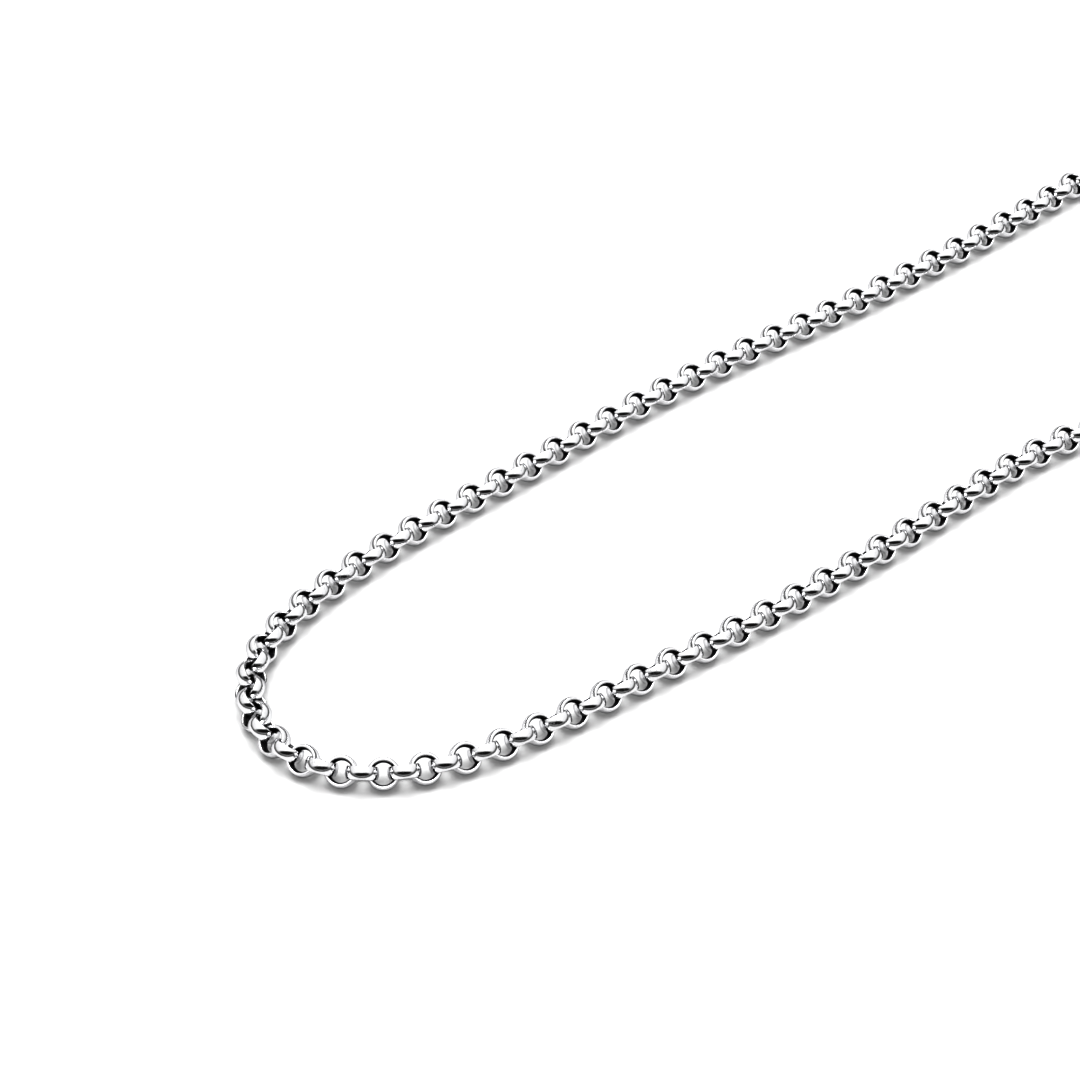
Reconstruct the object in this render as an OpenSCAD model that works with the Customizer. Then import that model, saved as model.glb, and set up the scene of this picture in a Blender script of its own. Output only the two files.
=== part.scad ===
// Round box chain necklace, lying closed on a flat surface in a long loop.
// Each link is a thick round band, domed outside and inside, and leans the other way from the next.
// Millimetres. +Z is up, +X runs along the loop from its bend to its clasp.
// The origin is on the surface, under the middle of the loop.

/* [Link] */
// Outer diameter of a link
link_d = 2.95; // [2.95:0.05:3.6]
// Width of the band that a link is made of
link_w = 1.15; // [0.9:0.05:1.15]
// Thickness of the band at its middle
link_wall = 0.45; // [0.42:0.01:0.46]
// How far the outside of the band is domed
outer_dome = 0.14; // [0.05:0.01:0.2]
// How far the inside of the band is domed
inner_dome = 0.16; // [0.15:0.01:0.2]

/* [Rings] */
// Outer diameter of the two plain rings beside the clasp
ring_d = 4.0; // [3.9:0.1:4.2]
// Thickness of the rings' wire
ring_wire = 0.7; // [0.5:0.05:0.75]

/* [Clasp] */
// Diameter of the clasp's barrel
barrel_d = 3.2; // [2.8:0.1:3.3]
// Diameter of the clasp's ends, beside its eyes
barrel_end_d = 1.9; // [1.4:0.1:2.2]
// Middle diameter of the two eyes on the clasp
eye_d = 2.1; // [2:0.1:2.6]
// Thickness of the eyes' wire
eye_wire = 0.7; // [0.5:0.05:0.8]
// Share of the barrel's length that is straight, between its tapered ends
straight_share = 0.62; // [0.3:0.02:0.8]
// Depth of the groove round the middle of the barrel
groove = 0.12; // [0.05:0.01:0.3]

/* [Hidden] */

steel = [0.80, 0.80, 0.81];
ring_steel = [0.70, 0.70, 0.72];
clasp_steel = [0.62, 0.63, 0.66];

// Distance between the middles of two neighbouring links
pitch = 0.61 * link_d;
// A link's axis leans this far from upright, to one side and the other in turn
lean = 42;
// Smooth enough for drawing the round shapes
$fn = 72;

// The way that the chain takes over the surface, from one side of the clasp round to the other.
// Columns: steps from link to link, turn to the left in degrees, step as a share of the pitch
STEPS = 0;
TURN = 1;
SHARE = 2;
ROUTE = [
    // from the clasp into the far strand
    [6, 12, 1],
    [18, 97, 1],
    [28, -15.5, 1],
    // the far strand, back to the bend
    [13, -3.5, 1.005],
    [10, -4, 1],
    [8, 3.5, 0.995],
    [8, 4, 0.995],
    [8, -2, 0.995],
    [6, 5, 0.995],
    [4, 5.5, 0.99],
    // the bend
    [4, 11.5, 0.99],
    [4, 31, 0.995],
    [4, 33, 0.995],
    [4, 40.5, 0.995],
    [4, 30, 1],
    [4, 13.5, 1.005],
    // the near strand
    [6, 6, 1.01],
    [6, -1.5, 1.01],
    [8, 4.5, 1.01],
    [8, 3, 1],
    [5, -1.5, 1],
    [5, -8, 1],
    // from the near strand round to the clasp
    [48, -22, 1],
    [18, 106, 1],
    [6, 12, 1]
];
// Heading of the chain where it leaves the clasp
start_heading = 90;

// Heading at the start of each row of the route
row_heading = [for (i = 0, h = start_heading; i < len(ROUTE); h = h + ROUTE[i][TURN], i = i + 1) h];

// Every step from one link to the next: its heading and its length
step_heading = [for (r = [0:len(ROUTE) - 1]) for (k = [0:ROUTE[r][STEPS] - 1])
    row_heading[r] + ROUTE[r][TURN] * (k + 0.5) / ROUTE[r][STEPS]];
step_length = [for (r = [0:len(ROUTE) - 1]) for (k = [0:ROUTE[r][STEPS] - 1])
    pitch * ROUTE[r][SHARE]];

last = len(step_heading);
// The links of the left half are 0 to middle, and the right half takes up the rest
middle = floor(last / 2);

// Middles of all links, before the loop is moved over the origin
link_at = [for (
    i = 0, at = [0, 0];
    i <= last;
    at = i < last ? at + step_length[i] * [cos(step_heading[i]), sin(step_heading[i])] : at, i = i + 1
) at];

function heading_before(i) = step_heading[max(i - 1, 0)];
function heading_after(i) = step_heading[min(i, last - 1)];
function heading(i) = (heading_before(i) + heading_after(i)) / 2;
function turn(i) = heading_after(i) - heading_before(i);
// Mean turn round a link, so that its height changes gently
function soft_turn(i) = (turn(max(i - 1, 0)) + turn(i) + turn(min(i + 1, last))) / 3;

// Links lean to the left and to the right of their way in turn
function side(i) = i % 2 == 0 ? 1 : -1;
// In a curve, a link that leans towards its inside rides a little higher, which keeps the gaps even
function rise(i) = max(side(i) * soft_turn(i), 0) * PI / 180 * pitch * tan(lean) / 2;

link_r = link_d / 2;
bore_r = link_r - link_wall;
half_w = link_w / 2;
// How deep a dome falls away, and how far along the band, at each of its corners: it is made of flats
function dome_fall(dome, flats) = let (
    dome_r = (half_w * half_w + dome * dome) / (2 * dome),
    dome_edge = asin(half_w / dome_r)
) [for (k = [0:flats])
    let (a = dome_edge * (2 * k / flats - 1))
    [dome_r - dome_r * cos(a), dome_r * sin(a)]];
// Section of a link's band, as radius and place along the link's axis
outside = [for (corner = dome_fall(outer_dome, 5)) [link_r - corner[0], corner[1]]];
inside = [for (corner = dome_fall(inner_dome, 3)) [bore_r + corner[0], -corner[1]]];
// Height of a link's middle when the band's edge rests on the surface
link_z = (link_r - outer_dome) * sin(lean) + half_w * cos(lean);

// Furthest that a link reaches from its middle along a direction; tip is how much of
// that direction lies along the link's own axis, from 0 to 1
function link_reach(tip) = max([for (corner = outside) corner[0] * sqrt(1 - tip * tip) + corner[1] * tip]);
function reach_x(i) = link_reach(abs(sin(heading(i))) * sin(lean));
function reach_y(i) = link_reach(abs(cos(heading(i))) * sin(lean));

// The clasp lies on the line between the chain's two ends, held by a ring at each
ring_r = (ring_d - ring_wire) / 2;
ring_z = ring_r * sin(lean) + ring_wire / 2;
eye_r = eye_d / 2;
// Gap left between a ring and the eye that it goes through
gap = 0.17;
// Gap left between a ring and the end link's band, at its middle and at its edges
link_gap = 0.22;
ring_hole_r = ring_r - ring_wire / 2 - link_gap;
link_to_ring = bore_r + min(ring_hole_r, inner_dome + sqrt(ring_hole_r * ring_hole_r - half_w * half_w));
ring_to_eye = ring_r + eye_r - ring_wire / 2 - eye_wire / 2 - gap;
end_to_start = link_at[0] - link_at[last];
clasp_span = norm(end_to_start);
clasp_way = end_to_start / clasp_span;
clasp_heading = atan2(clasp_way[1], clasp_way[0]);
clasp_at = (link_at[0] + link_at[last]) / 2;
eye_spread = clasp_span / 2 - link_to_ring - ring_to_eye;
// The barrel ends just inside the outer wall of each eye
barrel_half = eye_spread - eye_r + eye_wire / 4;
barrel_r = barrel_d / 2;

// The loop's box, which sets where the origin is
x_low = min([for (i = [0:last]) link_at[i][0] - reach_x(i)]);
ring_x = clasp_at[0] + abs(clasp_way[0]) * (clasp_span / 2 - link_to_ring);
x_high = max(
    ring_x + ring_r * cos(lean) + ring_wire / 2,
    clasp_at[0] + abs(clasp_way[0]) * barrel_half * straight_share + barrel_r,
    max([for (i = [0:last]) link_at[i][0] + reach_x(i)])
);
y_low = min([for (i = [0:last]) link_at[i][1] - reach_y(i)]);
y_high = max([for (i = [0:last]) link_at[i][1] + reach_y(i)]);
loop_centre = [(x_low + x_high) / 2, (y_low + y_high) / 2];

module link() {
    rotate_extrude()
        polygon(concat(outside, inside));
}

// The links from one number to another, each in its place on the surface
module links(from, to) {
    for (i = [from:to])
        translate([link_at[i][0] - loop_centre[0], link_at[i][1] - loop_centre[1], link_z + rise(i)])
            rotate([-side(i) * lean, 0, heading(i)])
                link();
}

module wire_ring(middle_r, wire) {
    rotate_extrude()
        translate([middle_r, 0])
            circle(d = wire);
}

// Draws its children on the clasp's line, a distance from the middle of the clasp
module on_clasp_line(along, height) {
    translate([clasp_at[0] - loop_centre[0], clasp_at[1] - loop_centre[1], height])
        rotate([0, 0, clasp_heading])
            translate([along, 0, 0])
                children();
}

module end_ring(end) {
    on_clasp_line(end * (clasp_span / 2 - link_to_ring), ring_z)
        rotate([side(end < 0 ? last : 0) * lean, 0, 0])
            wire_ring(ring_r, ring_wire);
}

module eye(end) {
    translate([end * eye_spread, 0, 0])
        rotate([-side(end < 0 ? last : 0) * lean, 0, 0])
            wire_ring(eye_r, eye_wire);
}

// Half of the barrel's outline, turned about its long axis
module barrel() {
    shoulder = barrel_half * straight_share;
    rotate([0, 90, 0])
        rotate_extrude()
            difference() {
                polygon([
                    [0, -barrel_half],
                    [barrel_end_d / 2, -barrel_half],
                    [barrel_r, -shoulder],
                    [barrel_r, shoulder],
                    [barrel_end_d / 2, barrel_half],
                    [0, barrel_half]
                ]);
                translate([barrel_r, 0])
                    circle(r = groove, $fn = 24);
            }
}

module chain_left() {
    color(steel)
        links(0, middle);
}

module chain_right() {
    color(steel)
        links(middle + 1, last);
}

module ring_left() {
    color(ring_steel)
        end_ring(1);
}

module ring_right() {
    color(ring_steel)
        end_ring(-1);
}

module clasp() {
    color(clasp_steel)
        on_clasp_line(0, barrel_r)
            union() {
                barrel();
                eye(1);
                eye(-1);
            }
}

chain_left();
chain_right();
ring_left();
ring_right();
clasp();
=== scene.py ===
import math
import random

import bmesh
import bpy
import numpy as np
from bpy.props import FloatProperty, FloatVectorProperty, IntProperty, PointerProperty
from mathutils import Matrix, Vector


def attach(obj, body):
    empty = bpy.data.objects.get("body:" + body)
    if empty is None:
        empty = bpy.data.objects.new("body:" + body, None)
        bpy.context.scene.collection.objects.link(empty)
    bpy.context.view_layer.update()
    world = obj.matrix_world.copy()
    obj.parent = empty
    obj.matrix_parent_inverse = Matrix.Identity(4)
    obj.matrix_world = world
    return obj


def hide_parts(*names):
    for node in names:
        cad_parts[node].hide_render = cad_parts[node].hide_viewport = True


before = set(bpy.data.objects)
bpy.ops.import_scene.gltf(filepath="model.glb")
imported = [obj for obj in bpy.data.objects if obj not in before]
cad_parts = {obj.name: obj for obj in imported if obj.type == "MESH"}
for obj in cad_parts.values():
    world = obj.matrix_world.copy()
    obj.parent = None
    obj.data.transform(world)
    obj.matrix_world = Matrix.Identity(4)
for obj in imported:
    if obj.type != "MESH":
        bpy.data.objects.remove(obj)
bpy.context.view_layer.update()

bl_info = {
    "name": "Round box chain necklace",
    "version": (1, 0, 0),
    "blender": (4, 5, 0),
    "location": "View3D > Sidebar > Necklace",
    "description": "Polished links, rings and clasp of a round box chain, lying on a pale surface",
    "category": "Object",
}

MM = 0.001

# Names under which the meshes keep their coordinates and values
BAND_MAP = "band"
LINK_SHADE = "link_shade"
BORE_DEPTH = "bore_depth"

# Corners of a solid, or points on the barrel's axis, nearer to each other than this are one
SAME_CORNER = 0.0005 * MM
SAME_ON_AXIS = 0.0001 * MM
# Points over the outside and the inside of a link's band
OUTER_POINTS, INNER_POINTS = 11, 7
# Each half of the chain is split into this many pieces
PIECES_OF_HALF = 3
CHANCE_SEED = 7

# Sections round a ring, an eye and the barrel, and points round the wire
RING_STEPS, EYE_STEPS, BARREL_STEPS = 72, 64, 96
WIRE_POINTS = 20
# Half the seam of a ring and of an eye, as angles, and how deep a ring's seam is
RING_SEAM, EYE_SEAM = 0.02, 0.01
RING_SEAM_DEPTH = 0.01 * MM
# Turn of each ring's seam about its axis
RING_SPINS = {"ring_left": 0.6, "ring_right": 2.4}

SURFACE_RADIUS, SURFACE_STEPS = 4.0, 96
SENSOR_WIDTH = 36.0
WHITE = (1.0, 1.0, 1.0, 1.0)


class ChainSizes(bpy.types.PropertyGroup):
    """Sizes of the links: close to those of the solid ones, with a thicker band and a seam"""

    diameter: FloatProperty(
        name="Link diameter", description="Outer diameter of a link",
        default=2.93 * MM, unit="LENGTH",
    )
    width: FloatProperty(
        name="Band width", description="Width of the band that a link is made of",
        default=1.14 * MM, unit="LENGTH",
    )
    wall: FloatProperty(
        name="Band thickness", description="Thickness of the band at its middle",
        default=0.52 * MM, unit="LENGTH",
    )
    outer_dome: FloatProperty(
        name="Outer dome", description="How far the outside of the band is domed",
        default=0.14 * MM, unit="LENGTH",
    )
    inner_dome: FloatProperty(
        name="Inner dome", description="How far the inside of the band is domed",
        default=0.22 * MM, unit="LENGTH",
    )
    edge_round: FloatProperty(
        name="Edge rounding", description="Reach of the rounding along the band's edges",
        default=0.03 * MM, unit="LENGTH",
    )
    seam_width: FloatProperty(
        name="Seam width", description="Width of the seam where a link's band is closed",
        default=0.03 * MM, unit="LENGTH",
    )
    seam_depth: FloatProperty(
        name="Seam depth", description="Depth of the seam where a link's band is closed",
        default=0.0012 * MM, unit="LENGTH",
    )
    play: FloatProperty(
        name="Play", description="How far a link may lean off its even place",
        default=math.radians(0.8), unit="ROTATION",
    )
    steps: IntProperty(
        name="Steps round a link", description="Number of sections round a link",
        default=56,
    )


class ClaspSizes(bpy.types.PropertyGroup):
    """Sizes of the clasp and its rings, which repeat those of the solid ones"""

    ring_diameter: FloatProperty(
        name="Ring diameter", description="Outer diameter of the rings",
        default=4.0 * MM, unit="LENGTH",
    )
    ring_wire: FloatProperty(
        name="Ring wire", description="Thickness of the rings' wire",
        default=0.7 * MM, unit="LENGTH",
    )
    eye_diameter: FloatProperty(
        name="Eye diameter", description="Middle diameter of the clasp's eyes",
        default=2.1 * MM, unit="LENGTH",
    )
    eye_wire: FloatProperty(
        name="Eye wire", description="Thickness of the wire of the clasp's eyes",
        default=0.7 * MM, unit="LENGTH",
    )
    ring_gap: FloatProperty(
        name="Ring gap", description="Gap between a ring and the eye that it goes through",
        default=0.17 * MM, unit="LENGTH",
    )
    barrel_diameter: FloatProperty(
        name="Barrel diameter", description="Diameter of the clasp's barrel",
        default=3.2 * MM, unit="LENGTH",
    )
    barrel_end: FloatProperty(
        name="Barrel end", description="Diameter of the clasp's ends, beside its eyes",
        default=1.9 * MM, unit="LENGTH",
    )
    straight_share: FloatProperty(
        name="Straight share", description="Share of the barrel's length between its tapered ends",
        default=0.62,
    )
    groove: FloatProperty(
        name="Groove", description="Depth of the groove round the middle of the barrel",
        default=0.12 * MM, unit="LENGTH",
    )
    corner: FloatProperty(
        name="Corner rounding", description="Reach of the rounding along the barrel's corners",
        default=0.3 * MM, unit="LENGTH",
    )


class SteelLook(bpy.types.PropertyGroup):
    """Finish of the polished steel, and the painted shade inside the links"""

    colour: FloatVectorProperty(
        name="Steel", description="Colour of the polished steel",
        default=(0.8, 0.8, 0.81), subtype="COLOR", size=3,
    )
    worn_colour: FloatVectorProperty(
        name="Worn steel", description="Colour of the steel in scuffs and along the seam",
        default=(0.55, 0.55, 0.56), subtype="COLOR", size=3,
    )
    # Nearly black: in the links' bores it is painted shade, on the rings' seams and the clasp's
    # turning lines it is darker steel
    dull_and_shade_colour: FloatVectorProperty(
        name="Dull steel", description="Colour of the unpolished steel inside the links",
        default=(0.02, 0.02, 0.021), subtype="COLOR", size=3,
    )
    rim_tint: FloatVectorProperty(
        name="Rim tint", description="Tint of the steel where it turns away from the eye",
        default=(0.4, 0.4, 0.41), subtype="COLOR", size=3,
    )
    polish: FloatProperty(
        name="Polished roughness", description="Roughness of the polished steel", default=0.09,
    )
    scuff: FloatProperty(
        name="Scuffed roughness", description="Roughness of the steel where it is scuffed",
        default=0.28,
    )
    # Roughness inside the links, where the steel is also painted nearly black as shade
    dull_and_shade: FloatProperty(
        name="Dull roughness", description="Roughness of the steel inside the links",
        default=0.38,
    )


class StageLook(bpy.types.PropertyGroup):
    """Camera, floor and light"""

    azimuth: FloatProperty(
        name="Camera azimuth", description="Turn of the camera round the necklace",
        default=math.radians(-39.945), unit="ROTATION",
    )
    elevation: FloatProperty(
        name="Camera elevation", description="Angle at which the camera looks down",
        default=math.radians(39.2), unit="ROTATION",
    )
    distance: FloatProperty(
        name="Camera distance", description="Distance from the camera to the surface in mid view",
        default=306.45 * MM, unit="LENGTH",
    )
    aim: FloatVectorProperty(
        name="Aim", description="Point of the surface in mid view",
        default=(-59.9 * MM, 15.2 * MM, -0.12 * MM), subtype="TRANSLATION", size=3,
    )
    lens: FloatProperty(
        name="Lens", description="Focal length for a sensor 36 mm wide, in millimetres",
        default=109.75,
    )
    floor_colour: FloatVectorProperty(
        name="Floor", description="Colour of the pale surface",
        default=(0.38, 0.38, 0.38), subtype="COLOR", size=3,
    )
    floor_glow: FloatProperty(
        name="Floor glow",
        description="Brightness of the soft light that comes up through the surface",
        default=0.12,
    )
    cloth: FloatProperty(
        name="Cloth", description="Brightness of the pale cloth all round and overhead",
        default=1.45,
    )
    cloth_edge: FloatVectorProperty(
        name="Cloth edge", description="Angles over the horizon between which the cloth ends",
        default=(math.radians(8.0), math.radians(22.0)), size=2, unit="ROTATION",
    )
    side_shade: FloatProperty(
        name="Side shade", description="Share by which the cloth darkens to the left and right",
        default=0.3,
    )
    key: FloatProperty(
        name="Key light", description="Brightness that the lamp adds overhead", default=12.8,
    )
    key_way: FloatVectorProperty(
        name="Key direction",
        description="Way towards the lamp, as right, away and up in the picture",
        default=(-0.05, 0.16, 1.0), size=3,
    )
    key_edge: FloatVectorProperty(
        name="Key edge",
        description="Angles from the lamp's middle at which its light starts and is full",
        default=(math.radians(30.0), math.radians(12.0)), size=2, unit="ROTATION",
    )
    walls: FloatProperty(
        name="Walls", description="Brightness of the room under the cloth", default=0.12,
    )
    opening: FloatProperty(
        name="Opening", description="Brightness of the opening that the camera looks through",
        default=0.01,
    )
    opening_middle: FloatProperty(
        name="Opening height", description="Angle over the horizon of the middle of the opening",
        default=math.radians(30.0), unit="ROTATION",
    )
    opening_reach: FloatVectorProperty(
        name="Opening reach", description="Half width and half height of the opening, as sines",
        default=(0.85, 0.26), size=2,
    )
    contrast: FloatProperty(
        name="Contrast", description="Gamma of the finished picture", default=0.8,
    )


class Wire:
    """A shader socket that can be used in Python expressions"""

    def __init__(self, tree, socket=None):
        self.tree = tree
        self.socket = socket

    def node(self, kind, inputs=(), output=0, **settings):
        """Adds a node of any type: its settings first, then the values or links of its sockets"""
        made = self.tree.nodes.new(kind)
        for name, value in settings.items():
            setattr(made, name, value)
        for name, value in dict(inputs).items():
            if isinstance(value, Wire):
                self.tree.links.new(value.socket, made.inputs[name])
            else:
                made.inputs[name].default_value = value
        return Wire(self.tree, made.outputs[output] if made.outputs else None)

    def maths(self, operation, *values):
        """The result of a Math node on numbers or other values"""
        return self.node("ShaderNodeMath", enumerate(values), operation=operation)

    def stored(self, name):
        """A value that is stored on the mesh under a name"""
        return self.node("ShaderNodeAttribute", output="Fac", attribute_name=name)

    def __add__(self, other):
        return self.maths("ADD", self, other)

    def __sub__(self, other):
        return self.maths("SUBTRACT", self, other)

    def __rsub__(self, other):
        return self.maths("SUBTRACT", other, self)

    def __mul__(self, other):
        return self.maths("MULTIPLY", self, other)

    def __abs__(self):
        return self.maths("ABSOLUTE", self)

    __radd__ = __add__
    __rmul__ = __mul__

    def rise(self, low, high):
        """0 below low, 1 above high and smooth between"""
        reach = {"Value": self, "From Min": low, "From Max": high}
        return self.node("ShaderNodeMapRange", reach, interpolation_type="SMOOTHSTEP")

    def dot(self, direction):
        """How far this vector points along a direction"""
        pair = {0: self, 1: direction}
        return self.node("ShaderNodeVectorMath", pair, output="Value", operation="DOT_PRODUCT")

    def part(self, axis):
        """One coordinate of this vector"""
        return self.node("ShaderNodeSeparateXYZ", {0: self}, output=axis)

    def stretch(self, scale):
        """This vector with its coordinates scaled apart"""
        return self.node("ShaderNodeMapping", {"Vector": self, "Scale": scale})

    def noise(self, scale, detail=2.0):
        """Cloudy values from 0 to 1 at this place"""
        settings = {"Vector": self, "Scale": scale, "Detail": detail}
        return self.node("ShaderNodeTexNoise", settings, output=0)

    def mix(self, low, high):
        """A mix of two colours, with this value as the factor"""
        first_colour, second_colour, mixed_colour = 6, 7, 2
        inputs = {0: self, first_colour: low, second_colour: high}
        return self.node("ShaderNodeMix", inputs, output=mixed_colour, data_type="RGBA")


def opaque(colour):
    """A colour with full alpha, as colour sockets take it"""
    return (*colour, 1.0)


def new_material(name):
    """An empty material, and the start for its nodes"""
    material = bpy.data.materials.new(name)
    material.use_nodes = True
    material.node_tree.nodes.clear()
    return material, Wire(material.node_tree)


def steel_surface(start, wear, dull_and_shade, scuffs, relief):
    """Joins up the shader of the steel: wear and the dark share are shares, scuffs roughens the
    polish; the dark share makes the steel nearly black and rougher, which inside the links is
    painted shade
    """
    look = bpy.context.scene.steel_look
    polished = wear.mix(opaque(look.colour), opaque(look.worn_colour))
    colour = dull_and_shade.mix(polished, opaque(look.dull_and_shade_colour))
    roughness = look.polish + (look.scuff - look.polish) * scuffs
    roughness = roughness + (look.dull_and_shade - look.polish) * dull_and_shade
    surface = start.node(
        "ShaderNodeBsdfPrincipled",
        {
            "Base Color": colour, "Metallic": 1.0, "Roughness": roughness, "Normal": relief,
            "Specular Tint": opaque(look.rim_tint),
        },
    )
    start.node("ShaderNodeOutputMaterial", {"Surface": surface})


def polished_band():
    """Steel of a link: polished outside and along its edges, rougher inside and painted nearly
    black there as shade, with a faint seam
    """
    material, start = new_material("polished_links")
    place = start.node("ShaderNodeTexCoord", output="Object")
    band = start.node("ShaderNodeUVMap", uv_map=BAND_MAP)
    shade = start.stored(LINK_SHADE)

    clouds = place.noise(scale=420.0, detail=3.0)
    grit = place.noise(scale=5200.0)
    dents = place.noise(scale=1500.0, detail=1.0)
    lines = band.stretch((5.0, 60.0, 1.0)).noise(scale=1.0, detail=3.0)
    # Scuffs lie in clouds broken up by grit, and more on some links than on others
    scuffs = (clouds + shade * 0.25).rise(0.58, 0.86) * grit.rise(0.42, 0.7)
    # Deep in the bore the steel is rougher and painted nearly black: painted shade for the link's
    # shadowed inside
    dull_and_shade = start.stored(BORE_DEPTH).rise(0.06, 0.2) * (0.85 + grit * 0.3)
    # The seam is where the coordinate round the band wraps from 1 to 0
    seam = abs(band.part("X") - 0.5).rise(0.4965, 0.4985)
    relief = start.node(
        "ShaderNodeBump",
        {"Height": dents + lines * 0.06 + grit * 0.02, "Strength": 0.25, "Distance": 0.03 * MM},
    )
    hairlines = lines.rise(0.5, 0.8) * 0.12
    steel_surface(start, scuffs * 0.5 + seam * 0.3, dull_and_shade, scuffs + hairlines, relief)
    return material


def polished_wire():
    """Steel of the rings, drawn lengthwise, with the line where each ring is closed"""
    material, start = new_material("polished_wire")
    place = start.node("ShaderNodeTexCoord", output="Object")
    wire = start.node("ShaderNodeUVMap", uv_map=BAND_MAP)

    grit = place.noise(scale=5200.0)
    clouds = place.noise(scale=300.0, detail=3.0)
    lines = wire.stretch((6.0, 40.0, 1.0)).noise(scale=1.0, detail=3.0)
    scuffs = clouds.rise(0.5, 0.75) * grit.rise(0.4, 0.7)
    seam = abs(wire.part("X") - 0.5).rise(0.494, 0.4985)
    relief = start.node(
        "ShaderNodeBump",
        {"Height": lines + grit * 0.3, "Strength": 0.1, "Distance": 0.01 * MM},
    )
    steel_surface(start, scuffs * 0.5 + seam * 0.6, seam * 0.4, scuffs + lines * 0.15, relief)
    return material


def turned_steel(way):
    """Steel of the clasp, with fine lines round it from turning; way is its long direction"""
    material, start = new_material("turned_clasp")
    place = start.node("ShaderNodeTexCoord", output="Object")

    settings = {"W": place.dot(way), "Scale": 9000.0, "Detail": 3.0}
    rings = start.node("ShaderNodeTexNoise", settings, noise_dimensions="1D")
    grit = place.noise(scale=4200.0)
    clouds = place.noise(scale=260.0, detail=3.0)
    scuffs = clouds.rise(0.45, 0.8) * grit.rise(0.35, 0.7)
    relief = start.node(
        "ShaderNodeBump",
        {"Height": rings + grit * 0.2, "Strength": 0.12, "Distance": 0.01 * MM},
    )
    steel_surface(start, scuffs * 0.5, rings.rise(0.55, 0.8) * 0.1, scuffs + rings * 0.3, relief)
    return material


def pale_surface():
    """Matt board with a fine tooth, a little mottled, and faintly lit from below"""
    look = bpy.context.scene.stage_look
    material, start = new_material("pale_surface")
    place = start.node("ShaderNodeTexCoord", output="Object")
    tooth = place.noise(scale=900.0)
    shaded = tuple(0.98 * part for part in look.floor_colour)
    mottling = place.noise(scale=40.0, detail=4.0)
    colour = mottling.mix(opaque(look.floor_colour), opaque(shaded))
    surface = start.node(
        "ShaderNodeBsdfPrincipled",
        {
            "Base Color": colour, "Roughness": tooth * 0.1 + 0.6,
            "Emission Color": WHITE, "Emission Strength": look.floor_glow,
        },
    )
    start.node("ShaderNodeOutputMaterial", {"Surface": surface})
    return material


def loose_solids(node):
    """The vertices of each loose solid of a CAD node, as one array for each"""
    solids = bmesh.new()
    solids.from_mesh(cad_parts[node].data)
    bmesh.ops.remove_doubles(solids, verts=solids.verts, dist=SAME_CORNER)
    unseen = set(solids.verts)
    found = []
    while unseen:
        queue = [unseen.pop()]
        places = []
        while queue:
            vertex = queue.pop()
            places.append(vertex.co[:])
            for edge in vertex.link_edges:
                other = edge.other_vert(vertex)
                if other in unseen:
                    unseen.remove(other)
                    queue.append(other)
        found.append(np.array(places))
    solids.free()
    return found


def ring_pose(vertices):
    """Middle and axis of a round band or ring, from its vertices"""
    middle = vertices.mean(0)
    _, directions = np.linalg.eigh(np.cov((vertices - middle).T))
    axis = Vector(directions[:, 0])
    if axis.z < 0:
        axis = -axis
    return Vector(middle), axis


def along_chain(node, start):
    """Poses of a chain node's links, in order from the one nearest to start"""
    left = [ring_pose(solid) for solid in loose_solids(node)]
    ordered = []
    here = start
    while left:
        nearest = min(left, key=lambda pose: (pose[0] - here).length)
        left.remove(nearest)
        ordered.append(nearest)
        here = nearest[0]
    return ordered


def dome_line(middle_r, fall, half, reach, count):
    """Points over one side of the band, as (distance from the link's axis, place along it)"""
    radius = (half ** 2 + fall ** 2) / (2 * abs(fall))
    turns = np.linspace(-1, 1, count) * math.asin(reach / radius)
    drops = math.copysign(radius, fall) * (1 - np.cos(turns))
    return list(zip(middle_r - drops, radius * np.sin(turns)))


def edge_turn(start, end, tip):
    """Points over one edge of the band, with its two corners rounded"""
    corner = math.copysign(tip - start[1], end[0] - start[0])
    # Where the middle of a rounded corner lies, as a share of its reach
    cut = 1 - math.sqrt(0.5)
    # A second point beside each corner keeps the flat between them flat in its shading
    return [
        (start[0] + corner * cut, tip - (tip - start[1]) * cut),
        (start[0] + corner, tip),
        (start[0] + corner * 1.5, tip),
        (end[0] - corner * 1.5, tip),
        (end[0] - corner, tip),
        (end[0] - corner * cut, tip - (tip - end[1]) * cut),
    ]


def band_section(sizes):
    """Closed outline of a link's band, and each point's depth in the link's bore, from 0 to 1"""
    outer_r = sizes.diameter / 2
    half = sizes.width / 2
    reach = half - sizes.edge_round
    inner_r = outer_r - sizes.wall
    outer = dome_line(outer_r, sizes.outer_dome, half, reach, OUTER_POINTS)
    inner = dome_line(inner_r, -sizes.inner_dome, half, reach, INNER_POINTS)[::-1]
    turn = edge_turn(outer[-1], inner[0], half)
    turn_back = edge_turn(inner[-1], outer[0], -half)
    depths = [0.0] * (len(outer) + len(turn)) + [1 - abs(z) / half for _, z in inner]
    return outer + turn + inner + turn_back, depths + [0.0] * len(turn_back)


def wire_section(middle_r, wire):
    """Closed outline of a ring of round wire"""
    turns = [2 * math.pi * k / WIRE_POINTS for k in range(WIRE_POINTS)]
    return [(middle_r + wire / 2 * math.cos(a), wire / 2 * math.sin(a)) for a in turns]


def seamed_angles(steps, half_seam):
    """Angles round a ring, with a close pair beside the seam at 0"""
    even = [2 * math.pi * k / steps for k in range(1, steps)]
    return [0.0, half_seam] + even + [2 * math.pi - half_seam]


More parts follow.
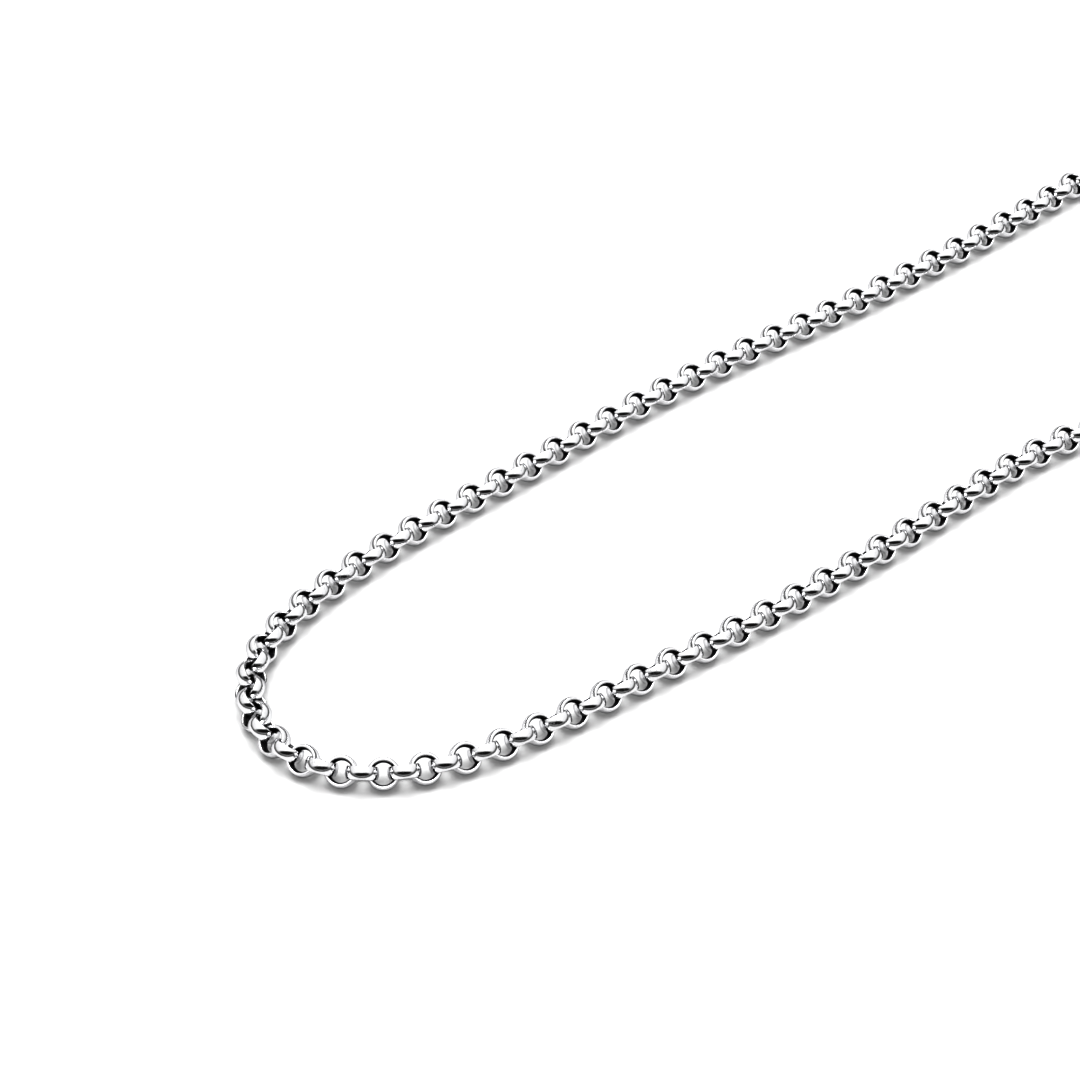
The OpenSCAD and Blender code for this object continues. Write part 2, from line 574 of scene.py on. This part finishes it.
def ring_form(outline, angles, seam_depth):
    """Vertices of a ring round Z, as angle by outline point, with a shallow seam at 0"""
    centre_r = sum(r for r, _ in outline) / len(outline)
    form = np.empty((len(angles), len(outline), 3))
    for row, angle in enumerate(angles):
        depth = seam_depth if row == 0 else 0.0
        for column, (r, z) in enumerate(outline):
            sunk = r - math.copysign(depth, r - centre_r)
            form[row, column] = (sunk * math.cos(angle), sunk * math.sin(angle), z)
    return form


def ring_faces(rows, columns):
    """Quads of one ring form, closed both ways"""
    row, column = np.meshgrid(np.arange(rows), np.arange(columns), indexing="ij")
    next_row, next_column = (row + 1) % rows, (column + 1) % columns
    corners = [(row, column), (next_row, column), (next_row, next_column), (row, next_column)]
    return np.stack([r * columns + c for r, c in corners], axis=-1).reshape(-1, 4)


def ring_map(angles, outline):
    """Coordinates round the ring and round its outline, both from 0 to 1, for ring_faces"""
    along = np.array(angles + [2 * math.pi]) / (2 * math.pi)
    closed = np.array(outline + outline[:1])
    lengths = np.linalg.norm(np.diff(closed, axis=0), axis=1)
    across = np.concatenate([[0.0], np.cumsum(lengths)]) / lengths.sum()
    row, column = np.meshgrid(np.arange(len(angles)), np.arange(len(outline)), indexing="ij")
    corners = [(row, column), (row + 1, column), (row + 1, column + 1), (row, column + 1)]
    return np.stack(
        [np.stack([along[r], across[c]], axis=-1) for r, c in corners], axis=2,
    ).reshape(-1, 2)


def joined_rings(name, outline, angles, seam_depth, poses, material):
    """One object of many rings: the same form at each pose"""
    form = ring_form(outline, angles, seam_depth).reshape(-1, 3)
    faces = ring_faces(len(angles), len(outline))
    places = [form @ np.array(pose.to_3x3()).T + np.array(pose.translation) for pose in poses]
    numbered = [faces + len(form) * k for k in range(len(poses))]
    mesh = bpy.data.meshes.new(name)
    mesh.from_pydata(np.concatenate(places).tolist(), [], np.concatenate(numbered).tolist())
    band = mesh.uv_layers.new(name=BAND_MAP)
    band.data.foreach_set("uv", np.tile(ring_map(angles, outline), (len(poses), 1)).ravel())
    mesh.shade_smooth()
    return as_piece(name, mesh, material)


def store(piece, name, values):
    """Stores one value for each vertex of a piece"""
    stored = piece.data.attributes.new(name, "FLOAT", "POINT")
    stored.data.foreach_set("value", np.array(values, dtype=np.float32))


def as_piece(name, mesh, material):
    """An object of the scene with that mesh and material"""
    mesh.materials.append(material)
    piece = bpy.data.objects.new(name, mesh)
    bpy.context.scene.collection.objects.link(piece)
    return piece


def barrel_outline(sizes, half):
    """Outline of the clasp's barrel from one end to the other, as (distance from axis, along)"""
    barrel_r, end_r, groove = sizes.barrel_diameter / 2, sizes.barrel_end / 2, sizes.groove
    shoulder = half * sizes.straight_share
    side = [(0.0, half), (end_r, half), (barrel_r, shoulder)]
    # Half of the round groove, in three points
    dip = [(barrel_r, groove), (barrel_r - groove * 0.7, groove * 0.7), (barrel_r - groove, 0.0)]
    upper = side + dip
    lower = [(r, -along) for r, along in reversed(upper[:-1])]
    return softened(upper + lower, sizes.corner)


def softened(line, reach, count=6):
    """An open outline with the corners between its ends rounded"""
    points = [Vector(line[0])]
    for before, corner, after in zip(line, line[1:], line[2:]):
        corner = Vector(corner)
        back, on = Vector(before) - corner, Vector(after) - corner
        # Less than half of each side, so that neighbouring corners never meet
        cut = min(reach, back.length * 0.45, on.length * 0.45)
        start, end = corner + back.normalized() * cut, corner + on.normalized() * cut
        for k in range(count + 1):
            share = k / count
            points.append(start.lerp(corner, share).lerp(corner.lerp(end, share), share))
    return points + [Vector(line[-1])]


def turned(name, outline, pose, material):
    """A solid turned round Z from an outline that starts and ends on Z, then set in a pose"""
    solid = bmesh.new()
    line = [solid.verts.new((r, 0.0, z)) for r, z in outline]
    edges = [solid.edges.new(pair) for pair in zip(line, line[1:])]
    bmesh.ops.spin(
        solid, geom=line + edges, cent=(0, 0, 0), axis=(0, 0, 1), angle=2 * math.pi,
        steps=BARREL_STEPS,
    )
    bmesh.ops.remove_doubles(solid, verts=solid.verts, dist=SAME_ON_AXIS)
    bmesh.ops.recalc_face_normals(solid, faces=solid.faces)
    bmesh.ops.transform(solid, matrix=pose, verts=solid.verts)
    mesh = bpy.data.meshes.new(name)
    solid.to_mesh(mesh)
    solid.free()
    mesh.shade_smooth()
    return as_piece(name, mesh, material)


def merged(piece, other):
    """Joins another solid to a piece and takes the other away"""
    union = piece.modifiers.new("union", "BOOLEAN")
    union.operation = "UNION"
    union.solver = "EXACT"
    union.object = other
    joined = piece.evaluated_get(bpy.context.evaluated_depsgraph_get())
    shape = bpy.data.meshes.new_from_object(joined)
    piece.modifiers.clear()
    piece.data = shape
    bpy.data.objects.remove(other)


def set_at(middle, axis, spin=0.0):
    """A pose at a middle that takes Z to an axis, after a spin about Z"""
    turn = axis.to_track_quat("Z", "Y").to_matrix().to_4x4()
    return Matrix.Translation(middle) @ turn @ Matrix.Rotation(spin, 4, "Z")


def settled(pose, form):
    """A pose raised just enough that nothing of the form is below the surface"""
    upward = np.array(pose.to_3x3())[2]
    lowest = (form.reshape(-1, 3) @ upward).min() + pose.translation.z
    return Matrix.Translation((0, 0, max(0.0, -lowest))) @ pose


def keep(piece, node):
    """Rides a finished piece on the necklace, in place of its solids"""
    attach(piece, "root")
    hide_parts(node)


class NECKLACE_OT_chain(bpy.types.Operator):
    """Make the polished links of both halves of the chain"""

    bl_idname = "necklace.chain"
    bl_label = "Make the chain"

    def execute(self, context):
        sizes = context.scene.chain_sizes
        chance = random.Random(CHANCE_SEED)
        outline, depths = band_section(sizes)
        angles = seamed_angles(sizes.steps, sizes.seam_width / sizes.diameter)
        form = ring_form(outline, angles, sizes.seam_depth)
        corners = len(angles) * len(outline)
        steel = polished_band()
        for node, ring in (("chain_left", "ring_left"), ("chain_right", "ring_right")):
            clasp_side = ring_pose(loose_solids(ring)[0])[0]
            poses, shades = [], []
            for middle, axis in along_chain(node, clasp_side):
                hinge = Vector([chance.gauss(0, 1) for _ in range(3)]).normalized()
                leaning = Matrix.Rotation(sizes.play * chance.uniform(-1, 1), 3, hinge)
                spin = chance.uniform(0, 2 * math.pi)
                poses.append(settled(set_at(middle, leaning @ axis, spin), form))
                shades.append(chance.random())
            parts = np.array_split(np.arange(len(poses)), PIECES_OF_HALF)
            for number, links in enumerate(parts, start=1):
                piece = joined_rings(
                    f"{node}_links_{number}", outline, angles, sizes.seam_depth,
                    [poses[link] for link in links], steel,
                )
                store(piece, LINK_SHADE, np.repeat([shades[link] for link in links], corners))
                store(piece, BORE_DEPTH, np.tile(depths, len(angles) * len(links)))
                keep(piece, node)
        return {"FINISHED"}


class NECKLACE_OT_rings(bpy.types.Operator):
    """Make the two wire rings beside the clasp"""

    bl_idname = "necklace.rings"
    bl_label = "Make the rings"

    def execute(self, context):
        sizes = context.scene.clasp_sizes
        outline = wire_section((sizes.ring_diameter - sizes.ring_wire) / 2, sizes.ring_wire)
        angles = seamed_angles(RING_STEPS, RING_SEAM)
        steel = polished_wire()
        for node, spin in RING_SPINS.items():
            middle, axis = ring_pose(loose_solids(node)[0])
            pose = set_at(middle, axis, spin)
            piece = joined_rings(f"{node}_wire", outline, angles, RING_SEAM_DEPTH, [pose], steel)
            keep(piece, node)
        return {"FINISHED"}


class NECKLACE_OT_clasp(bpy.types.Operator):
    """Make the clasp, one closed barrel with an eye at each end"""

    bl_idname = "necklace.clasp"
    bl_label = "Make the clasp"

    def execute(self, context):
        sizes = context.scene.clasp_sizes
        rings = [ring_pose(loose_solids(node)[0]) for node in ("ring_right", "ring_left")]
        (right_middle, _), (left_middle, _) = rings
        line = left_middle - right_middle
        way = line.normalized()
        middle = (right_middle + left_middle) / 2
        middle.z = sizes.barrel_diameter / 2
        ring_r = (sizes.ring_diameter - sizes.ring_wire) / 2
        eye_r = sizes.eye_diameter / 2
        ring_to_eye = ring_r + eye_r - (sizes.ring_wire + sizes.eye_wire) / 2 - sizes.ring_gap
        spread = line.length / 2 - ring_to_eye
        steel = turned_steel(way)
        half = spread - eye_r + sizes.eye_wire / 4
        barrel = turned("clasp_barrel", barrel_outline(sizes, half), set_at(middle, way), steel)
        outline = wire_section(eye_r, sizes.eye_wire)
        angles = seamed_angles(EYE_STEPS, EYE_SEAM)
        for along, (_, ring_axis) in zip((-spread, spread), rings):
            pose = set_at(middle + way * along, way.cross(ring_axis))
            merged(barrel, joined_rings("eye", outline, angles, 0.0, [pose], steel))
        keep(barrel, "clasp")
        return {"FINISHED"}


class NECKLACE_OT_stage(bpy.types.Operator):
    """Make the pale surface, the soft light and the camera"""

    bl_idname = "necklace.stage"
    bl_label = "Make the stage"

    def execute(self, context):
        look = context.scene.stage_look
        self.lay_surface()
        self.light_room(context, look)
        self.set_camera(context, look)
        return {"FINISHED"}

    def lay_surface(self):
        surface = bmesh.new()
        bmesh.ops.create_circle(
            surface, cap_ends=True, segments=SURFACE_STEPS, radius=SURFACE_RADIUS,
        )
        mesh = bpy.data.meshes.new("pale_surface")
        surface.to_mesh(mesh)
        surface.free()
        mesh.materials.append(pale_surface())
        floor = bpy.data.objects.new("pale_surface", mesh)
        bpy.context.scene.collection.objects.link(floor)

    def light_room(self, context, look):
        """Pale cloth with a soft lamp above and a dark opening that the camera looks through"""
        room = bpy.data.worlds.new("soft_room")
        room.use_nodes = True
        room.node_tree.nodes.clear()
        start = Wire(room.node_tree)
        way = start.node("ShaderNodeTexCoord", output="Generated")
        turn = Matrix.Rotation(look.azimuth, 3, "Z")
        tilt = turn @ Matrix.Rotation(-look.opening_middle, 3, "X")
        right, away, above = tilt.col
        key_way = (turn @ Vector(look.key_way)).normalized()

        cloth = way.part("Z").rise(*(math.sin(angle) for angle in look.cloth_edge))
        key = way.dot(key_way).rise(*(math.cos(angle) for angle in look.key_edge))
        side = way.dot(right)
        wide = side * (1.0 / look.opening_reach[0])
        tall = way.dot(above) * (1.0 / look.opening_reach[1])
        opening = 1.0 - (wide * wide + tall * tall).rise(0.6, 1.4)
        opening = opening * way.dot(-away).rise(0.0, 0.1)
        cloth_level = (1.0 - side * side * look.side_shade) * look.cloth
        level = look.walls + (cloth_level - look.walls) * cloth + look.key * key
        level = level + opening * (look.opening - level)
        glow = start.node("ShaderNodeBackground", {"Color": WHITE, "Strength": level})
        start.node("ShaderNodeOutputWorld", {"Surface": glow})
        context.scene.world = room

    def set_camera(self, context, look):
        lens = bpy.data.cameras.new("camera")
        lens.lens = look.lens
        lens.sensor_width = SENSOR_WIDTH
        lens.clip_start = 0.01
        lens.clip_end = 20.0
        camera = bpy.data.objects.new("camera", lens)
        camera.rotation_euler = (math.pi / 2 - look.elevation, 0.0, look.azimuth)
        back = camera.rotation_euler.to_matrix().col[2]
        camera.location = Vector(look.aim) + back * look.distance
        context.scene.collection.objects.link(camera)
        context.scene.camera = camera
        context.scene.view_settings.view_transform = "Standard"
        context.scene.view_settings.gamma = look.contrast


class NECKLACE_PT_panel(bpy.types.Panel):
    """Lists what the necklace is made of"""

    bl_label = "Round box chain necklace"
    bl_idname = "NECKLACE_PT_panel"
    bl_space_type = "VIEW_3D"
    bl_region_type = "UI"
    bl_category = "Necklace"

    def draw(self, context):
        for operator in OPERATORS:
            self.layout.operator(operator.bl_idname)
        for settings in SETTINGS:
            group = getattr(context.scene, settings)
            for name in group.bl_rna.properties.keys():
                if name not in ("rna_type", "name"):
                    self.layout.prop(group, name)


OPERATORS = (NECKLACE_OT_chain, NECKLACE_OT_rings, NECKLACE_OT_clasp, NECKLACE_OT_stage)
SETTINGS = {
    "chain_sizes": ChainSizes,
    "clasp_sizes": ClaspSizes,
    "steel_look": SteelLook,
    "stage_look": StageLook,
}
CLASSES = (*SETTINGS.values(), *OPERATORS, NECKLACE_PT_panel)


def register():
    for kind in CLASSES:
        bpy.utils.register_class(kind)
    for name, group in SETTINGS.items():
        setattr(bpy.types.Scene, name, PointerProperty(type=group))


def unregister():
    for name in SETTINGS:
        delattr(bpy.types.Scene, name)
    for kind in reversed(CLASSES):
        bpy.utils.unregister_class(kind)


def main():
    register()
    bpy.ops.necklace.chain()
    bpy.ops.necklace.rings()
    bpy.ops.necklace.clasp()
    bpy.ops.necklace.stage()


if __name__ == "__main__":
    main()
